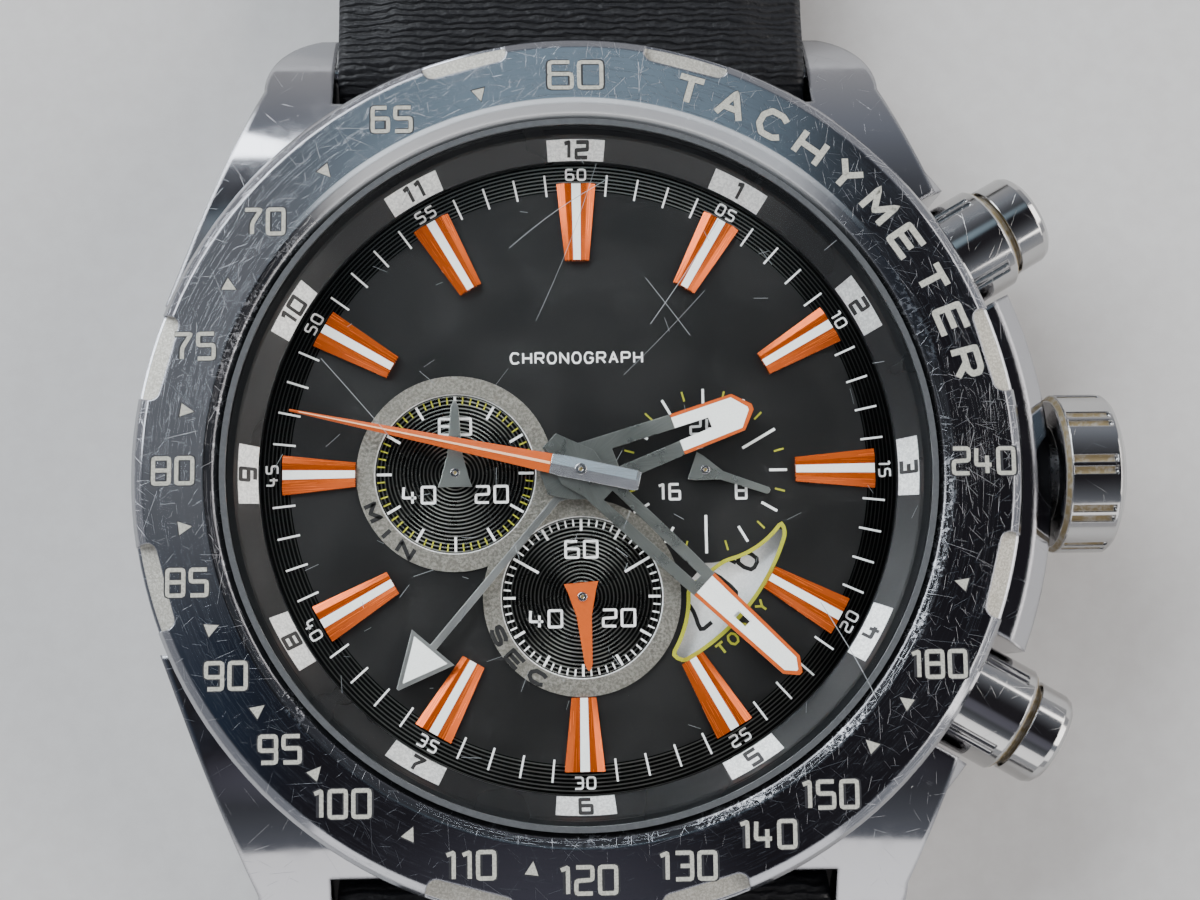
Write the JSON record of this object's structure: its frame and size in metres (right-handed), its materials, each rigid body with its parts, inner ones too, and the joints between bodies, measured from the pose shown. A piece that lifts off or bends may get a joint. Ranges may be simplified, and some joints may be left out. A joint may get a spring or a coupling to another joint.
{
  "type": "chronograph wristwatch",
  "caption": "Steel chronograph wristwatch with tachymeter bezel, black dial, orange batons, crescent date window, side pushers, crown and black pin-buckle strap laid flat.",
  "frame": {"origin": "centre of the case back's outer face, on the surface the watch lies on", "axes": "+Z out through the crystal, +Y towards 12 o'clock along the strap, +X towards 3 o'clock and the crown"},
  "size_m": [0.0511, 0.2543, 0.0114],
  "materials": {
    "steel_case": "polished, worn",
    "steel_bezel": "polished and finely scratched, engraved numerals filled cream",
    "steel_polished": "polished, fine wear",
    "steel_back": "circular brushed",
    "crystal_glass": "clear, flat, a few scratches",
    "rubber_seal": "matt",
    "flange_black": "satin black with silver hour blocks",
    "movement_plastic": "matt",
    "steel_parts": "turned or stamped",
    "dial_black": "fine-grained satin black",
    "index_orange": "metallic orange with a white stripe",
    "counter_grey": "fine grained warm grey",
    "date_white": "matt white",
    "hand_grey": "smoked grey, satin",
    "hand_orange": "bright orange lacquer",
    "brass_train": "turned",
    "plate_brass": "plated, matt",
    "board_green": "circuit board",
    "coil_copper": "lacquered copper winding",
    "battery_steel": "plated",
    "strap_leather": "black padded strap with a fine ribbed grain"
  },
  "bodies": {
    "case": {"case_middle": "steel_case", "bezel": "steel_bezel", "crystal": "crystal_glass", "crystal_gasket": "rubber_seal", "inner_flange": "flange_black", "movement_ring": "movement_plastic", "case_back": "steel_back", "case_back_gasket": "rubber_seal", "crown_tube": "steel_parts", "dial_plate": "dial_black", "hour_indexes": "index_orange", "counter_frame": "counter_grey", "main_plate": "plate_brass", "train_bridge": "plate_brass", "bridge_screws": "steel_parts", "circuit_board": "board_green", "time_coil": "coil_copper", "chrono_coil": "coil_copper", "battery": "battery_steel", "battery_clamp": "steel_parts", "quartz_can": "steel_parts", "pusher_collar_2": "steel_polished", "pusher_collar_4": "steel_polished", "pusher_spring_2": "steel_parts", "pusher_spring_4": "steel_parts", "pusher_gaskets": "rubber_seal", "spring_bar_12": "steel_polished", "spring_bar_6": "steel_polished"},
    "minute_work": {"minute_hand": "hand_grey", "minute_pipe": "brass_train"},
    "hour_work": {"hour_hand": "hand_grey", "hour_pipe": "brass_train"},
    "second_zone_work": {"second_zone_hand": "hand_grey", "zone_pipe": "brass_train"},
    "day_hours_work": {"day_hours_hand": "hand_grey", "day_hours_arbor": "brass_train"},
    "date_work": {"date_disc": "date_white"},
    "small_seconds_work": {"small_seconds_hand": "hand_orange", "small_seconds_arbor": "brass_train"},
    "chrono_work": {"chrono_seconds_hand": "hand_orange", "chrono_arbor": "brass_train"},
    "minute_counter_work": {"minute_counter_hand": "hand_grey", "minute_counter_arbor": "brass_train"},
    "time_rotor_body": {"time_rotor": "steel_parts"},
    "chrono_rotor_body": {"chrono_rotor": "steel_parts"},
    "setting_slide": {"setting_lever": "steel_parts"},
    "crown_body": {"crown": "steel_polished", "crown_stem": "steel_parts", "crown_gasket": "rubber_seal"},
    "pusher_2": {"pusher_button_2": "steel_polished", "pusher_clip_2": "steel_parts"},
    "pusher_4": {"pusher_button_4": "steel_polished", "pusher_clip_4": "steel_parts"},
    "strap_12": {"strap_buckle_half": "strap_leather", "keeper_fixed": "strap_leather", "buckle_bar": "steel_polished"},
    "strap_6": {"strap_hole_half": "strap_leather"},
    "keeper": {"keeper_loose": "strap_leather"},
    "buckle": {"buckle_frame": "steel_polished"},
    "tang": {"buckle_tang": "steel_polished"}
  },
  "joints": [
    {"name": "minute_turn", "type": "hinge", "parent": "case", "child": "minute_work", "pos_m": [0, 0, 0.0095], "axis": [0, 0, -1], "continuous": true},
    {"name": "hour_turn", "type": "hinge", "parent": "case", "child": "hour_work", "pos_m": [0, 0, 0.0093], "axis": [0, 0, -1], "continuous": true},
    {"name": "second_zone_turn", "type": "hinge", "parent": "case", "child": "second_zone_work", "pos_m": [0, 0, 0.0091], "axis": [0, 0, -1], "continuous": true},
    {"name": "day_hours_turn", "type": "hinge", "parent": "case", "child": "day_hours_work", "pos_m": [0.00642, 0, 0.0089], "axis": [0, 0, -1], "continuous": true},
    {"name": "date_turn", "type": "hinge", "parent": "case", "child": "date_work", "pos_m": [0, 0, 0.0079], "axis": [0, 0, -1], "continuous": true},
    {"name": "small_seconds_turn", "type": "hinge", "parent": "case", "child": "small_seconds_work", "pos_m": [0, -0.00642, 0.0089], "axis": [0, 0, -1], "continuous": true},
    {"name": "chrono_turn", "type": "hinge", "parent": "case", "child": "chrono_work", "pos_m": [0, 0, 0.0098], "axis": [0, 0, -1], "continuous": true},
    {"name": "minute_counter_turn", "type": "hinge", "parent": "case", "child": "minute_counter_work", "pos_m": [-0.00642, 0, 0.0089], "axis": [0, 0, -1], "continuous": true},
    {"name": "time_rotor_turn", "type": "hinge", "parent": "case", "child": "time_rotor_body", "pos_m": [-0.0016, 0.0084, 0.005], "axis": [0, 0, -1], "continuous": true},
    {"name": "chrono_rotor_turn", "type": "hinge", "parent": "case", "child": "chrono_rotor_body", "pos_m": [0.0016, 0.0084, 0.005], "axis": [0, 0, -1], "continuous": true},
    {"name": "crown_pull", "type": "slide", "parent": "case", "child": "setting_slide", "axis": [1, 0, 0], "range_m": [0, 0.0016]},
    {"name": "crown_turn", "type": "hinge", "parent": "setting_slide", "child": "crown_body", "pos_m": [0.0265, 0, 0.0052], "axis": [1, 0, 0], "continuous": true},
    {"name": "pusher_2_press", "type": "slide", "parent": "case", "child": "pusher_2", "axis": [-0.866, -0.5, 0], "range_m": [0, 0.001], "stiffness_N_per_m": 2000, "springref_m": -0.0005, "deforming": ["pusher_spring_2"]},
    {"name": "pusher_4_press", "type": "slide", "parent": "case", "child": "pusher_4", "axis": [-0.866, 0.5, 0], "range_m": [0, 0.001], "stiffness_N_per_m": 2000, "springref_m": -0.0005, "deforming": ["pusher_spring_4"]},
    {"name": "strap_12_swing", "type": "hinge", "parent": "case", "child": "strap_12", "pos_m": [0, 0.023, 0.0036], "axis": [1, 0, 0], "range_deg": [-75, 20]},
    {"name": "strap_6_swing", "type": "hinge", "parent": "case", "child": "strap_6", "pos_m": [0, -0.023, 0.0036], "axis": [-1, 0, 0], "range_deg": [-75, 20]},
    {"name": "keeper_slide", "type": "slide", "parent": "strap_12", "child": "keeper", "axis": [0, -1, 0], "range_m": [-0.007, 0.013]},
    {"name": "buckle_swing", "type": "hinge", "parent": "strap_12", "child": "buckle", "pos_m": [0, 0.098, 0.0029], "axis": [1, 0, 0], "range_deg": [-50, 45]},
    {"name": "tang_swing", "type": "hinge", "parent": "buckle", "child": "tang", "pos_m": [0, 0.098, 0.0029], "axis": [1, 0, 0], "range_deg": [0, 75]}
  ],
  "couplings": [
    {"joint": "hour_turn", "follows": "minute_turn", "ratio": 0.083333},
    {"joint": "second_zone_turn", "follows": "minute_turn", "ratio": 0.083333},
    {"joint": "day_hours_turn", "follows": "minute_turn", "ratio": 0.041667},
    {"joint": "date_turn", "follows": "minute_turn", "ratio": -0.0013441},
    {"joint": "small_seconds_turn", "follows": "minute_turn", "ratio": 60},
    {"joint": "minute_counter_turn", "follows": "chrono_turn", "ratio": 0.016667}
  ]
}
